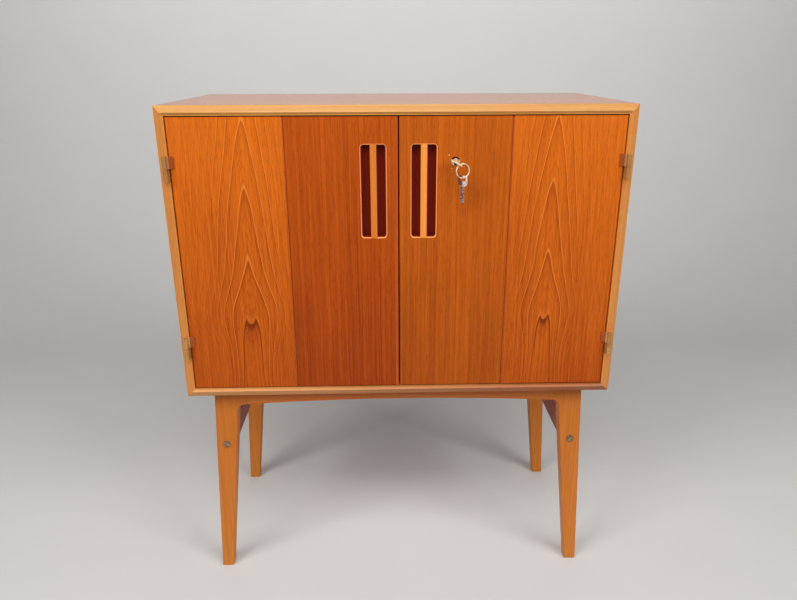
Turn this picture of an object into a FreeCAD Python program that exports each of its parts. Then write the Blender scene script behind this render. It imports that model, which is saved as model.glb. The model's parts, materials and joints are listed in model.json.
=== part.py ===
import FreeCAD, Part

import math
import os

# A teak cabinet on splayed beech legs, closed by two folding doors of two leaves each.
# Millimetres, +Z up. The origin is on the floor, under the middle of the whole object.
# The front faces -Y, so the left door is at -X.

V = FreeCAD.Vector
X_AXIS = V(1, 0, 0)
Y_AXIS = V(0, 1, 0)
Z_AXIS = V(0, 0, 1)

# Carcase
body_width = 750.0
body_height = 493.0
body_depth = 380.0          # from the ridge of the front lipping to the back edge
wall = 15.2                 # thickness of the four panels, and width of the lipping
corner_radius = 2.0
back_thickness = 5.0
back_inset = 2.0            # how far the back panel lies in from the back edge
back_rebate = 7.0           # width of the step that the back panel lies in
back_play = 0.3
overrun = 1.0               # how far a cutting tool runs past what it cuts

# Lipping: an outer bevel up to a ridge, a narrow facet facing the doors, then a flat strip
lipping_depth = 16.0
bevel_width = 10.5
bevel_depth = 6.6
facet_width = 3.2
facet_depth = 2.4

# Doors
leaf_thickness = 15.0
door_setback = 4.2          # from the ridge back to the door face
edge_gap = 1.5              # round the two doors
joint_gap = 2.3             # between leaves that stand side by side
leaf_easing = 0.8
strip_width = 5.4           # the solid strip on the left inner leaf's meeting edge
stop_width = 30.0
stop_size = 12.0            # depth and height of the blocks that stop the doors
stop_from_middle = 140.0
stop_clearance = 0.3

# Handle slots, and the flat bar down the middle of each
slot_width = 37.4
slot_height = 145.6
slot_depth = 11.0
slot_radius = 3.5
slot_easing = 2.8
slot_from_middle = 40.2     # middle of the cabinet to the middle of the slot
slot_from_top = 134.0       # top of the carcase to the middle of the slot
bar_width = 10.4
bar_thickness = 5.5
bar_easing = 0.7

# Shelf
shelf_thickness = 15.0
shelf_setback = 48.0        # from the ridge to the shelf's front edge
shelf_height = 215.0        # above the inside of the bottom panel
shelf_play = 0.5
shelf_peg_radius = 3.0
shelf_peg_length = 20.0
shelf_peg_depth = 10.0      # how far a peg goes into the side panel
shelf_peg_inset = 40.0      # from the shelf's front and back edges
shelf_step = 32.0           # between the rows of peg holes

# Pin hinges on the outer sides
hinge_height = 40.0
hinge_split = 0.4           # between the two knuckles
hinge_from_top = 95.5       # top of the carcase to the middle of the upper hinges
hinge_from_bottom = 94.5
pin_from_side = 11.0        # outer side of the carcase to the pin
pin_out = 3.6               # how far the pin stands before the ridge
knuckle_radius = 3.4
pin_radius = 1.6
pin_clearance = 0.05
pin_short = 1.4             # from a pin's end to the top of its hinge
hinge_sheet = 1.4
plate_thickness = 1.2       # of the screwed part, which is let into the wood
plate_depth = 12.6
flange_width = 7.0          # the part that lies on the door face
flange_corner = 1.6

# Butt hinges at the back of the joint between two leaves
fold_offset = 1.0           # from the back of the leaves to the fold's axis
fold_knuckle_radius = 2.4
fold_relief = 0.3           # room round the knuckles
fold_pin_radius = 1.1
fold_sheet = 0.9
fold_plate_depth = 11.0
fold_height = 50.0

# Lock
lock_from_top = 86.0
housing_radius = 7.2
housing_proud = 0.8
plug_radius = 5.2
plug_proud = 0.5
plug_clearance = 0.06
cam_radius = 8.5
cam_thickness = 2.0
cam_gap = 0.5               # from the back of the leaf to the cam
crank_radius = 6.0          # from the lock's centre to a crank pin
crank_pin_radius = 1.5
rod_width = 9.0
rod_thickness = 2.0
rod_gap = 0.5               # from the cam to the rods
rod_apart = 0.8             # between the two rods, side by side at the cam
rod_clearance = 0.4
rod_overlap = 4.2           # how far a rod reaches past its crank pin
rod_end_gap = 1.0           # from a rod's end to the leaf's edge, pulled in
crank_slot_width = 5.5
crank_slot_height = 3.6
case_width = 36.0
case_height = 44.0
case_depth = 7.0
case_wall = 1.4
guide_height = 12.0
guide_wall = 3.5
guide_from_end = 22.0
strike_length = 34.0
strike_width = 12.0
strike_thickness = 1.5
strike_hole_depth = 10.0
strike_hole_clearance = 0.7

# Slide bolts on the left inner leaf
bolt_from_meeting_edge = 18.0
bolt_width = 9.0
bolt_thickness = 3.0
bolt_length = 70.0
bolt_clearance = 0.3
bolt_plate_width = 14.0
bolt_plate_height = 62.0
bolt_plate_thickness = 1.5
bolt_plate_from_end = 5.0
bolt_saddle_height = 9.0
bolt_saddle_wall = 1.5
bolt_saddle_inset = 3.0
bolt_travel = 8.0
bolt_knob_radius = 3.0
bolt_knob_height = 7.0

# Keys
key_length = 44.0
key_stand_out = 27.3        # door face to the end of the bow
key_thickness = 2.0
key_slant = 28.0            # degrees: how the key in the lock is turned
bow_width = 20.0
bow_length = 16.0
bow_corner = 4.0
bow_rim = 2.0               # beside the hole
bow_end_rim = 2.5
bow_hole_length = 6.0       # the hole is wide and short, near the bow's end
blade_width = 7.5
blade_tip = 2.5
tooth_depth = 1.5
tooth_count = 5
tooth_span_share = 0.72     # share of the blade that has teeth
keyway_clearance = 0.15
ring_radius = 12.0          # outside
ring_wire = 1.8
ring_lean = 15.0            # degrees: how far the ring hangs out to the right
ring_turn = 20.0            # degrees: how the ring is turned about the vertical
hang_gap = 0.5
spare_turn = -57.0          # degrees: how the spare key is turned about the vertical

# Base
leg_height = 391.0
leg_setback = 30.0          # ridge to the front face of the front legs
rear_setback = 16.0         # back edge to the back face of the rear legs
leg_depth = 28.0
foot_depth = 22.0
leg_inset_top = 40.7        # outer side of the carcase to the leg's outer edge
leg_inset_foot = 20.3
foot_width = 21.8
leg_joint_inset = 97.2      # outer side of the carcase to the joint of leg and apron
knee_width = 41.8           # leg's width just under the apron
knee_radius = 15.0
leg_chamfer = 1.2
apron_end_height = 31.0
apron_middle_height = 23.4
apron_thickness = 20.0
apron_setback = 1.0         # from the face of the legs
stretcher_thickness = 18.0
stretcher_height = 42.0
stretcher_chamfer = 1.0
cross_bolt_height = 279.0
cross_bolt_inset = 53.2     # outer side of the carcase to the bolts' axis
cross_bolt_head_radius = 6.5
cross_bolt_head_height = 2.0
cross_bolt_radius = 3.0
cross_bolt_length = 58.0
cross_bolt_turn = 28.0      # degrees: how the slot of each bolt is turned
bolt_slot_width = 1.5
bolt_slot_depth = 1.2
barrel_radius = 5.0
barrel_length = 14.0
barrel_from_end = 18.0
tenon_length = 40.0
tenon_height = 17.0
tenon_thickness = 7.0
tenon_below_top = 4.0
base_screw_radius = 2.0
base_screw_head_radius = 4.0
base_screw_head_height = 2.4
base_screw_seat = 14.0      # how far below the carcase a screw head sits
base_screw_length = 25.0
base_screw_from_middle = 190.0

# Round pieces that nothing turns on have flat sides
peg_sides = 8               # pegs, shanks and hidden holes
knuckle_sides = 10          # outside of the butt hinges' knuckles
round_sides = 20            # lock housing, cam and bolt heads
ring_sides = 28

# Places worked out from the sizes
half_width = body_width / 2
bottom_z = leg_height
top_z = leg_height + body_height
inner_x = half_width - wall
inner_bottom = bottom_z + wall
inner_top = top_z - wall
key_slope = math.radians(key_slant)
spare_slope = math.radians(abs(spare_turn))
ring_slope = math.radians(ring_turn)
lean_reach = (ring_radius - ring_wire - hang_gap) * math.sin(math.radians(ring_lean))
bow_reach = key_stand_out - door_setback
ring_reach = bow_reach - bow_end_rim - bow_hole_length / 2
spare_half_depth = bow_width / 2 * math.sin(spare_slope) + key_thickness / 2 * math.cos(spare_slope)
spare_reach = ring_reach - lean_reach * math.sin(ring_slope) + spare_half_depth
front_reach = max(bow_reach, spare_reach)
front_y = (front_reach - body_depth) / 2
rear_y = front_y + body_depth
panel_y = front_y + lipping_depth
back_front_y = rear_y - back_inset - back_thickness
door_front = front_y + door_setback
door_back = door_front + leaf_thickness
door_edge = inner_x - edge_gap
door_bottom = inner_bottom + edge_gap
door_top = inner_top - edge_gap
leaf_width = (2 * door_edge - 3 * joint_gap) / 4
fold_x = door_edge - leaf_width - joint_gap / 2
fold_y = door_back + fold_offset
meeting_x = joint_gap / 2
pin_x = half_width - pin_from_side
pin_y = front_y - pin_out
hinge_zs = {"lower": bottom_z + hinge_from_bottom, "upper": top_z - hinge_from_top}
slot_z = top_z - slot_from_top
lock_x = meeting_x + leaf_width / 2
lock_z = top_z - lock_from_top
cam_y = (door_back + cam_gap, door_back + cam_gap + cam_thickness)
rod_y = (cam_y[1] + rod_gap, cam_y[1] + rod_gap + rod_thickness)
crank_offset = crank_radius / math.sqrt(2)
bolt_x = meeting_x + bolt_from_meeting_edge
bolt_y = (door_back + bolt_plate_thickness + bolt_clearance,
          door_back + bolt_plate_thickness + bolt_clearance + bolt_thickness)
ring_y = front_y - ring_reach
leg_outer_top = half_width - leg_inset_top
leg_outer_foot = half_width - leg_inset_foot
leg_joint = half_width - leg_joint_inset
cross_bolt_from_middle = half_width - cross_bolt_inset


def box(x_range, y_range, z_range):
    """A block between two values on each axis."""
    size = (x_range[1] - x_range[0], y_range[1] - y_range[0], z_range[1] - z_range[0])
    return Part.makeBox(*size, V(x_range[0], y_range[0], z_range[0]))


def around(middle, size):
    """The range that lies evenly about a middle."""
    return (middle - size / 2, middle + size / 2)


def rod(radius, start, direction, length):
    """A round bar from a point, along a direction."""
    return Part.makeCylinder(radius, length, start, direction)


def peg(radius, start, direction, length, sides=peg_sides):
    """A bar with flat sides from a point, along a direction."""
    beside = X_AXIS if abs(direction.z) > 0.5 else Z_AXIS
    across = direction.cross(beside)
    turns = [2 * math.pi * (index + 0.5) / sides for index in range(sides)]
    ring = [start + beside * (radius * math.cos(a)) + across * (radius * math.sin(a)) for a in turns]
    return prism(ring, direction * length)


def prism(points, travel):
    """A closed outline of points, pushed along a vector."""
    return Part.Face(Part.makePolygon(points + points[:1])).extrude(travel)


def mirrored(shape):
    """The same shape on the other side of the cabinet."""
    return shape.mirror(V(0, 0, 0), X_AXIS)


def joined(shapes):
    """One solid out of several that touch."""
    return shapes[0].multiFuse(shapes[1:]).removeSplitter()


def edges_along(shape, axis):
    """The straight edges of a shape that run along an axis."""
    return [
        e for e in shape.Edges
        if isinstance(e.Curve, Part.Line) and abs(e.tangentAt(e.FirstParameter).dot(axis)) > 0.9
    ]


def save(name, solids):
    """Writes one named piece, or a group of like pieces."""
    shapes = solids if isinstance(solids, list) else [solids]
    flat = [solid for shape in shapes for solid in shape.Solids]
    whole = flat[0] if len(flat) == 1 else Part.makeCompound(flat)
    os.makedirs("parts", exist_ok=True)
    whole.exportStep("parts/" + name + ".step")
    print(name, len(flat), round(whole.Volume / 1000, 2), "cm3", whole.isValid())


# Carcase

body_block = box((-half_width, half_width), (front_y, rear_y), (bottom_z, top_z))
body_block = body_block.makeFillet(corner_radius, edges_along(body_block, Y_AXIS))
back_recess = box(
    (-inner_x - back_rebate, inner_x + back_rebate),
    (back_front_y, rear_y + overrun),
    (inner_bottom - back_rebate, inner_top + back_rebate),
)


def mitre_block(side, y_range):
    """The mitred quarter of the frame that a panel or a lipping fills, seen from the front."""
    outer = {
        "top": ((-half_width, top_z), (half_width, top_z)),
        "bottom": ((half_width, bottom_z), (-half_width, bottom_z)),
        "left": ((-half_width, bottom_z), (-half_width, top_z)),
        "right": ((half_width, top_z), (half_width, bottom_z)),
    }[side]
    inner = {
        "top": ((inner_x, inner_top), (-inner_x, inner_top)),
        "bottom": ((-inner_x, inner_bottom), (inner_x, inner_bottom)),
        "left": ((-inner_x, inner_top), (-inner_x, inner_bottom)),
        "right": ((inner_x, inner_bottom), (inner_x, inner_top)),
    }[side]
    points = [V(x, y_range[0], z) for x, z in outer + inner]
    return prism(points, V(0, y_range[1] - y_range[0], 0))


def panel(side):
    """One mitred panel of the carcase, stepped at the back for the back panel."""
    quarter = mitre_block(side, (panel_y, rear_y))
    return quarter.common(body_block).cut(back_recess)


def lipping(side):
    """One mitred strip of the front frame, moulded on its face."""
    profile = [
        (0, bevel_depth),
        (bevel_width, 0),
        (bevel_width + facet_width, facet_depth),
        (wall, facet_depth),
        (wall, lipping_depth),
        (0, lipping_depth),
    ]
    place = {
        "top": (lambda u, v: V(-half_width, front_y + v, top_z - u), V(body_width, 0, 0)),
        "bottom": (lambda u, v: V(-half_width, front_y + v, bottom_z + u), V(body_width, 0, 0)),
        "left": (lambda u, v: V(-half_width + u, front_y + v, bottom_z), V(0, 0, body_height)),
        "right": (lambda u, v: V(half_width - u, front_y + v, bottom_z), V(0, 0, body_height)),
    }
    point, travel = place[side]
    bar = prism([point(u, v) for u, v in profile], travel)
    return bar.common(mitre_block(side, (front_y, panel_y))).common(body_block)


def back_panel():
    """The thin panel that closes the back."""
    reach = back_rebate - back_play
    return box(
        (-inner_x - reach, inner_x + reach),
        (back_front_y, back_front_y + back_thickness),
        (inner_bottom - reach, inner_top + reach),
    )


shelf_bottom = inner_bottom + shelf_height
shelf_front = front_y + shelf_setback
shelf_back = back_front_y - shelf_play
shelf_peg_ys = (shelf_front + shelf_peg_inset, shelf_back - shelf_peg_inset)


def shelf():
    """The loose shelf, which lies on four pegs."""
    return box(
        (-inner_x + shelf_play, inner_x - shelf_play),
        (shelf_front, shelf_back),
        (shelf_bottom, shelf_bottom + shelf_thickness),
    )


def shelf_peg(y, row, length):
    """A peg in the right side panel, or with a longer length the tool for its hole."""
    below = shelf_peg_radius * math.cos(math.pi / peg_sides)
    start = V(inner_x + shelf_peg_depth, y, shelf_bottom - below + row * shelf_step)
    return peg(shelf_peg_radius, start, -X_AXIS, length)


def door_stops():
    """Two small blocks under the top, behind the closed doors."""
    y = door_back + stop_clearance
    block = box(around(stop_from_middle, stop_width), (y, y + stop_size),
                (inner_top - stop_size, inner_top))
    return [block, mirrored(block)]


# Pin hinges: the frame half is below, with the pin fixed in it, and the door half turns above it


def web(target_x, target_y, z_range):
    """The sheet that runs from the pin's axis to a point, seen from above."""
    run = V(target_x - pin_x, target_y - pin_y, 0)
    across = V(-run.y, run.x, 0).normalize() * (hinge_sheet / 2)
    start = V(pin_x, pin_y, z_range[0])
    corners = [start + across, start + run + across, start + run - across, start - across]
    return prism(corners, V(0, 0, z_range[1] - z_range[0]))


def frame_hinge_half(z):
    """The right-hand frame half of a hinge whose middle is at z."""
    z_range = (z - hinge_height / 2, z - hinge_split / 2)
    height = z_range[1] - z_range[0]
    strip_y = front_y + facet_depth
    knuckle = rod(knuckle_radius, V(pin_x, pin_y, z_range[0]), Z_AXIS, height)
    plate = box((inner_x, inner_x + plate_thickness), (strip_y, strip_y + plate_depth), z_range)
    sheet = web(inner_x + plate_thickness / 2, strip_y + hinge_sheet / 2, z_range)
    bore = rod(pin_radius, V(pin_x, pin_y, z_range[0]), Z_AXIS, height)
    return joined([knuckle, plate, sheet]).cut(bore)


def door_hinge_half(z):
    """The right-hand door half of a hinge whose middle is at z."""
    z_range = (z + hinge_split / 2, z + hinge_height / 2)
    height = z_range[1] - z_range[0]
    knuckle = rod(knuckle_radius, V(pin_x, pin_y, z_range[0]), Z_AXIS, height)
    face_y = door_front - hinge_sheet
    flange = box((door_edge - flange_width, door_edge), (face_y, door_front), z_range)
    far_corners = [
        e for e in edges_along(flange, Y_AXIS) if e.CenterOfMass.x < door_edge - flange_width / 2
    ]
    flange = flange.makeChamfer(flange_corner, far_corners)
    plate = box((door_edge - plate_thickness, door_edge), (face_y, door_front + plate_depth), z_range)
    sheet = web(door_edge - plate_thickness, door_front - hinge_sheet / 2, z_range)
    bore = rod(pin_radius + pin_clearance, V(pin_x, pin_y, z_range[0] - overrun), Z_AXIS,
               height + 2 * overrun)
    return joined([knuckle, flange, plate, sheet]).cut(bore)


def hinge_pin(z):
    """The pin, fixed in the lower knuckle and reaching up into the door's knuckle."""
    return rod(pin_radius, V(pin_x, pin_y, z - hinge_height / 2), Z_AXIS, hinge_height - pin_short)


# Folding leaves and the butt hinges between them. The outer half is below, with the pin fixed in it


def eased_leaf(x_range):
    """A flat door leaf with its front edges eased."""
    leaf = box(x_range, (door_front, door_back), (door_bottom, door_top))
    front_edges = [e for e in leaf.Edges if e.CenterOfMass.y < door_front + leaf_easing]
    return leaf.makeChamfer(leaf_easing, front_edges)


def fold_half(z, outer):
    """One half of a right-hand butt hinge whose middle is at z."""
    lower = (z - fold_height / 2, z - hinge_split / 2)
    upper = (z + hinge_split / 2, z + fold_height / 2)
    own, other = (lower, upper) if outer else (upper, lower)
    edge_x = fold_x + joint_gap / 2 if outer else fold_x - joint_gap / 2
    x_range = (edge_x - fold_sheet, edge_x) if outer else (edge_x, edge_x + fold_sheet)
    plate = box(x_range, (door_back - fold_plate_depth, fold_y), around(z, fold_height))
    room_size = 2 * (fold_knuckle_radius + fold_relief)
    room = box(around(fold_x, room_size), around(fold_y, room_size),
               (other[0] - hinge_split, other[1] + hinge_split))
    knuckle = peg(fold_knuckle_radius, V(fold_x, fold_y, own[0]), Z_AXIS, own[1] - own[0],
                  knuckle_sides)
    play = 0 if outer else pin_clearance
    bore = rod(fold_pin_radius + play, V(fold_x, fold_y, z - fold_height), Z_AXIS, 2 * fold_height)
    return joined([plate.cut(room), knuckle]).cut(bore)


def fold_pin(z):
    """The pin of a butt hinge."""
    return rod(fold_pin_radius, V(fold_x, fold_y, z - fold_height / 2), Z_AXIS,
               fold_height - pin_short)


def fold_notches():
    """The bevelled notches that make room in the leaves for the knuckles."""
    reach = (fold_knuckle_radius + fold_relief) * math.sqrt(2)
    notches = []
    for z in hinge_zs.values():
        start = V(fold_x, fold_y, z - fold_height / 2 - fold_relief)
        corners = [start - X_AXIS * reach, start - Y_AXIS * reach, start + X_AXIS * reach,
                   start + Y_AXIS * reach]
        notches.append(prism(corners, V(0, 0, fold_height + 2 * fold_relief)))
    return notches


def handle_slot():
    """The routed slot of the right-hand handle, with its mouth eased."""
    pocket = box(around(slot_from_middle, slot_width), (door_front - slot_easing, door_front + slot_depth),
                 around(slot_z, slot_height))
    pocket = pocket.makeFillet(slot_radius, edges_along(pocket, Y_AXIS))
    mouth = box(around(slot_from_middle, slot_width + 2 * slot_easing),
                (door_front - slot_easing, door_front + slot_easing),
                around(slot_z, slot_height + 2 * slot_easing))
    mouth = mouth.makeFillet(slot_radius + slot_easing, edges_along(mouth, Y_AXIS))
    deep_edges = [
        e for e in mouth.Edges if abs(e.CenterOfMass.y - door_front - slot_easing) < slot_easing / 2
    ]
    return pocket.fuse(mouth.makeChamfer(slot_easing, deep_edges))


def handle_bar():
    """The flat bar in the right-hand slot, flush with the door face, its ends cut to fit the mouth."""
    bar = box(around(slot_from_middle, bar_width), (door_front, door_front + bar_thickness),
              around(slot_z, slot_height + 2 * slot_easing))
    upright = [e for e in edges_along(bar, Z_AXIS) if e.CenterOfMass.y < door_front + bar_easing]
    return bar.makeChamfer(bar_easing, upright).common(handle_slot())


# Lock in the right inner leaf: the plug's cam has two crank pins, and each drives a flat rod


def lock_housing():
    """The round housing that shows on the door face."""
    length = housing_proud + leaf_thickness
    start = V(lock_x, door_front - housing_proud, lock_z)
    tube = peg(housing_radius, start, Y_AXIS, length, round_sides)
    return tube.cut(rod(plug_radius + plug_clearance, start, Y_AXIS, length))


def keyway_tool():
    """The slot for the key's blade, turned with the plug."""
    depth = key_length - key_stand_out + keyway_clearance
    slot = box(
        around(lock_x, blade_width + 2 * keyway_clearance),
        (door_front - plug_proud - overrun, door_front + depth),
        around(lock_z, key_thickness + 2 * keyway_clearance),
    )
    slot.rotate(V(lock_x, door_front, lock_z), Y_AXIS, key_slant)
    return slot


def lock_plug():
    """The turning plug, with a cam and two crank pins at its inner end."""
    start = V(lock_x, door_front - plug_proud, lock_z)
    plug = rod(plug_radius, start, Y_AXIS, cam_y[1] - start.y)
    cam = peg(cam_radius, V(lock_x, cam_y[0], lock_z), Y_AXIS, cam_thickness, round_sides)
    pins = [
        peg(crank_pin_radius,
            V(lock_x + side * crank_offset, cam_y[0], lock_z - side * crank_offset),
            Y_AXIS, rod_y[1] - cam_y[0])
        for side in (-1, 1)
    ]
    return joined([plug, cam] + pins).cut(keyway_tool())


def rod_middle(side):
    """Middle of a rod across the leaf: the upper rod (1) is on the right of the lock's centre."""
    return lock_x + side * (rod_apart + rod_width) / 2


def lock_rod(side):
    """One flat rod, pulled in: from its crank slot nearly to the leaf's end."""
    pin_z = lock_z - side * crank_offset
    end = door_top - rod_end_gap if side > 0 else door_bottom + rod_end_gap
    z_range = sorted((pin_z - side * rod_overlap, end))
    bar = box(around(rod_middle(side), rod_width), rod_y, z_range)
    slot_x = lock_x + side * (crank_offset + crank_radius) / 2
    slot = box(around(slot_x, crank_slot_width), (rod_y[0] - overrun, rod_y[1] + overrun),
               around(pin_z, crank_slot_height))
    return bar.cut(slot)


def lock_case():
    """The shallow case over the cam, open towards the leaf."""
    case = box(around(lock_x, case_width), (door_back, door_back + case_depth),
               around(lock_z, case_height))
    room = box(around(lock_x, case_width - 2 * case_wall),
               (door_back - overrun, door_back + case_depth - case_wall),
               around(lock_z, case_height - 2 * case_wall))
    ways = [
        box(around(rod_middle(side), rod_width + 2 * rod_clearance),
            (rod_y[0] - rod_clearance, rod_y[1] + rod_clearance),
            sorted((lock_z, lock_z + side * case_height)))
        for side in (-1, 1)
    ]
    return case.cut([room] + ways)


def rod_guide(side, z):
    """A block on the back of the leaf with a slot that a rod runs through."""
    block = box(around(rod_middle(side), rod_width + 2 * rod_clearance + 2 * guide_wall),
                (door_back, door_back + case_depth), around(z, guide_height))
    upright = [e for e in edges_along(block, Z_AXIS) if e.CenterOfMass.y > rod_y[0]]
    block = block.makeChamfer(guide_wall / 2, upright)
    return block.cut(box(around(rod_middle(side), rod_width + 2 * rod_clearance),
                         (rod_y[0] - rod_clearance, rod_y[1] + rod_clearance),
                         around(z, 2 * guide_height)))


lower_guide_z = door_bottom + guide_from_end
guide_places = (
    (1, door_top - guide_from_end),
    (-1, lower_guide_z),
    (-1, (lower_guide_z + lock_z) / 2),
)


# Slide bolts on the back of the left inner leaf. They are drawn on the right and mirrored.


def bolt_end(side):
    """The leaf's edge that a bolt works towards."""
    return door_top if side > 0 else door_bottom


def bolt_guide(side):
    """A plate with two saddles that the bolt runs through."""
    end = bolt_end(side) - side * bolt_plate_from_end
    z_range = sorted((end, end - side * bolt_plate_height))
    plate = box(around(bolt_x, bolt_plate_width), (door_back, door_back + bolt_plate_thickness), z_range)
    room_width = bolt_width + 2 * bolt_clearance
    parts = [plate]
    for z in (z_range[0] + bolt_saddle_inset, z_range[1] - bolt_saddle_inset - bolt_saddle_height):
        parts.append(box(around(bolt_x, room_width + 2 * bolt_saddle_wall),
                         (door_back, bolt_y[1] + bolt_clearance + bolt_saddle_wall),
                         (z, z + bolt_saddle_height)))
    room = box(around(bolt_x, room_width), (bolt_y[0] - bolt_clearance, bolt_y[1] + bolt_clearance),
               (z_range[0] - overrun, z_range[1] + overrun))
    return joined(parts).cut(room)


def slide_bolt(side):
    """A flat bolt with a knob between the saddles, pulled in."""
    end = bolt_end(side) - side * rod_end_gap
    bar = box(around(bolt_x, bolt_width), bolt_y, sorted((end, end - side * bolt_length)))
    middle = bolt_end(side) - side * (bolt_plate_from_end + (bolt_plate_height + bolt_travel) / 2)
    knob = peg(bolt_knob_radius, V(bolt_x, bolt_y[0], middle), Y_AXIS, bolt_thickness + bolt_knob_height)
    return joined([bar, knob])


# Striking plates in the top and bottom panels, one for each rod and each bolt


def strike(x, y_range, width, side, panel_z):
    """A striking plate let into a panel, and the tool that cuts its seat and its hole."""
    y = (y_range[0] + y_range[1]) / 2
    seat = box(around(x, strike_length), around(y, strike_width),
               sorted((panel_z, panel_z + side * strike_thickness)))
    hole = box(around(x, width + 2 * strike_hole_clearance),
               around(y, y_range[1] - y_range[0] + 2 * strike_hole_clearance),
               sorted((panel_z - side * overrun, panel_z + side * strike_hole_depth)))
    return seat.cut(hole), seat.fuse(hole)


# Keys


def plain_key():
    """A flat key, its bow's end at the origin and its blade along +Y."""
    z_range = around(0, key_thickness)
    bow = box(around(0, bow_width), (0, bow_length), z_range)
    bow = bow.makeFillet(bow_corner, edges_along(bow, Z_AXIS))
    hole = box(around(0, bow_width - 2 * bow_rim), (bow_end_rim, bow_end_rim + bow_hole_length),
               around(0, key_thickness + 2 * overrun))
    half = blade_width / 2
    shoulder = key_length - blade_tip
    pitch = (key_length - bow_length) * tooth_span_share / tooth_count
    start = bow_length - bow_end_rim
    outline = [V(-half, start, 0), V(-half, shoulder, 0), V(0, key_length, 0), V(half, shoulder, 0)]
    for index in range(tooth_count):
        valley = shoulder - (index + 0.5) * pitch
        cut = tooth_depth if index % 2 else tooth_depth / 2
        outline += [V(half - cut, valley, 0), V(half, valley - pitch / 2, 0)]
    outline.append(V(half, start, 0))
    blade = prism([p - V(0, 0, key_thickness / 2) for p in outline], V(0, 0, key_thickness))
    return joined([bow, blade]).cut(hole)


def key_in_lock():
    """The key that stands in the lock, turned by its slant."""
    key = plain_key()
    key.translate(V(lock_x, door_front - key_stand_out, lock_z))
    key.rotate(V(lock_x, door_front, lock_z), Y_AXIS, key_slant)
    return key


rim_s = bow_width / 2 - bow_rim
hang_x = lock_x + rim_s * math.cos(key_slope) + key_thickness / 2 * math.sin(key_slope)
hang_z = lock_z - rim_s * math.sin(key_slope) + key_thickness / 2 * math.cos(key_slope)
ring_inside = ring_radius - ring_wire
ring_x = hang_x + lean_reach * math.cos(ring_slope)
ring_middle_y = ring_y + lean_reach * math.sin(ring_slope)
ring_z = hang_z - (ring_inside - hang_gap) * math.cos(math.radians(ring_lean))


def key_ring():
    """The flat ring, hung over the side of the bow."""
    start = V(ring_x, ring_middle_y - ring_wire / 2, ring_z)
    inside = peg(ring_inside, start, Y_AXIS, ring_wire, ring_sides)
    ring = peg(ring_radius, start, Y_AXIS, ring_wire, ring_sides).cut(inside)
    ring.rotate(V(ring_x, ring_middle_y, ring_z), Z_AXIS, ring_turn)
    return ring


def spare_key():
    """The second key, hung on the bottom of the ring with its blade down."""
    key = plain_key()
    key.rotate(V(0, 0, 0), X_AXIS, -90)
    rest_z = ring_z - ring_inside
    key.translate(V(ring_x, ring_middle_y, rest_z + hang_gap + bow_end_rim))
    key.rotate(V(ring_x, ring_middle_y, rest_z), Z_AXIS, spare_turn)
    return key


# Base

knee_z = leg_height - apron_end_height
outer_slope = (leg_outer_foot - leg_outer_top) / leg_height
knee_corner = leg_outer_top + outer_slope * apron_end_height - knee_width


def leg_profile():
    """A right-hand leg seen from the front: tapered, leaning outwards, with a round inner knee."""
    corner = V(knee_corner, 0, knee_z)
    foot = V(leg_outer_foot - foot_width, 0, 0)
    down = (foot - corner).normalize()
    half_turn = math.acos(-down.x) / 2
    tangent = knee_radius / math.tan(half_turn)
    arc_start = corner - X_AXIS * tangent
    arc_end = corner + down * tangent
    bisector = (down - X_AXIS).normalize()
    arc_middle = corner + bisector * (knee_radius / math.sin(half_turn) - knee_radius)
    points = [arc_end, foot, V(leg_outer_foot, 0, 0), V(leg_outer_top, 0, leg_height),
              V(leg_joint, 0, leg_height), V(leg_joint, 0, knee_z), arc_start]
    edges = [Part.makeLine(a, b) for a, b in zip(points, points[1:])]
    edges.append(Part.Arc(arc_start, arc_middle, arc_end).toShape())
    return Part.Face(Part.Wire(edges))


def leg(front):
    """A leg: the profile pushed back, then thinned towards the foot on its inner side."""
    face = front_y + leg_setback if front else rear_y - rear_setback - leg_depth
    profile = leg_profile()
    profile.translate(V(0, face, 0))
    board = profile.extrude(V(0, leg_depth, 0))
    start_z = cross_bolt_height - stretcher_height / 2
    y = face + leg_depth if front else face
    inward = -1 if front else 1
    thinned = [V(0, y, start_z), V(0, y + inward * (leg_depth - foot_depth), 0), V(0, y, 0)]
    board = board.cut(prism(thinned, V(body_width, 0, 0)))
    long_edges = [
        e for e in board.Edges
        if e.Length > start_z / 4 and abs(e.tangentAt(e.FirstParameter).z) > 0.9
    ]
    board = board.makeChamfer(leg_chamfer, long_edges)
    sole = [e for e in board.Edges if e.BoundBox.ZMax < leg_chamfer / 2]
    return board.makeChamfer(leg_chamfer, sole)


def apron_face(front):
    """Front face of an apron."""
    if front:
        return front_y + leg_setback + apron_setback
    return rear_y - rear_setback - apron_setback - apron_thickness


def apron(front):
    """The rail between two legs, arched underneath."""
    face = apron_face(front)
    ends = [V(-leg_joint, face, knee_z), V(leg_joint, face, knee_z)]
    crown = V(0, face, leg_height - apron_middle_height)
    top = [V(leg_joint, face, leg_height), V(-leg_joint, face, leg_height)]
    edges = [
        Part.Arc(ends[0], crown, ends[1]).toShape(),
        Part.makeLine(ends[1], top[0]),
        Part.makeLine(top[0], top[1]),
        Part.makeLine(top[1], ends[0]),
    ]
    return Part.Face(Part.Wire(edges)).extrude(V(0, apron_thickness, 0))


def apron_tenon(front):
    """The loose tenon across the right-hand joint of an apron and its leg."""
    top = leg_height - tenon_below_top
    return box(around(leg_joint, tenon_length),
               around(apron_face(front) + apron_thickness / 2, tenon_thickness),
               (top - tenon_height, top))


front_leg_back = front_y + leg_setback + leg_depth
rear_leg_front = rear_y - rear_setback - leg_depth


def stretcher():
    """The right-hand side rail between the front leg and the rear leg."""
    rail = box(around(cross_bolt_from_middle, stretcher_thickness), (front_leg_back, rear_leg_front),
               around(cross_bolt_height, stretcher_height))
    return rail.makeChamfer(stretcher_chamfer, edges_along(rail, Y_AXIS))


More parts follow.
